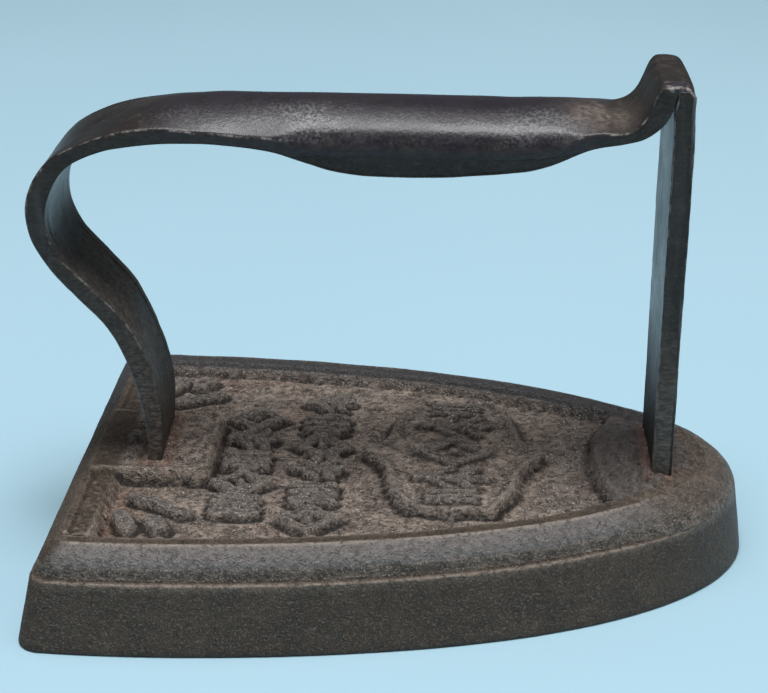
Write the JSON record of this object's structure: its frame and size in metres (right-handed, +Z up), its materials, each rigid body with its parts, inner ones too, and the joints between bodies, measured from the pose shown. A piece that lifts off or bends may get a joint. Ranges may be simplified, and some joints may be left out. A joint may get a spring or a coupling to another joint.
{
  "type": "sad iron",
  "caption": "Pointed cast-iron pressing iron with moulded border and sunken panel; forged flat-bar handle curves over the heel, swells to a hollow grip and ends on an upright leg.",
  "frame": {"origin": "middle of the bounding box, on the plane of the sole", "axes": "+X towards the pointed nose, +Y to the left of a user who pushes the nose forward, +Z up out of the sole"},
  "size_m": [0.1578, 0.1134, 0.1114],
  "materials": {
    "cast_body": "rough sand-cast iron, oiled brown-black with traces of rust",
    "forged_bar": "dark forged iron bar, worn smooth and half-bright by the hand"
  },
  "bodies": {
    "root": {"iron_body": "cast_body", "rear_leg": "forged_bar", "grip": "forged_bar", "front_neck": "forged_bar", "front_leg": "forged_bar"}
  },
  "joints": []
}
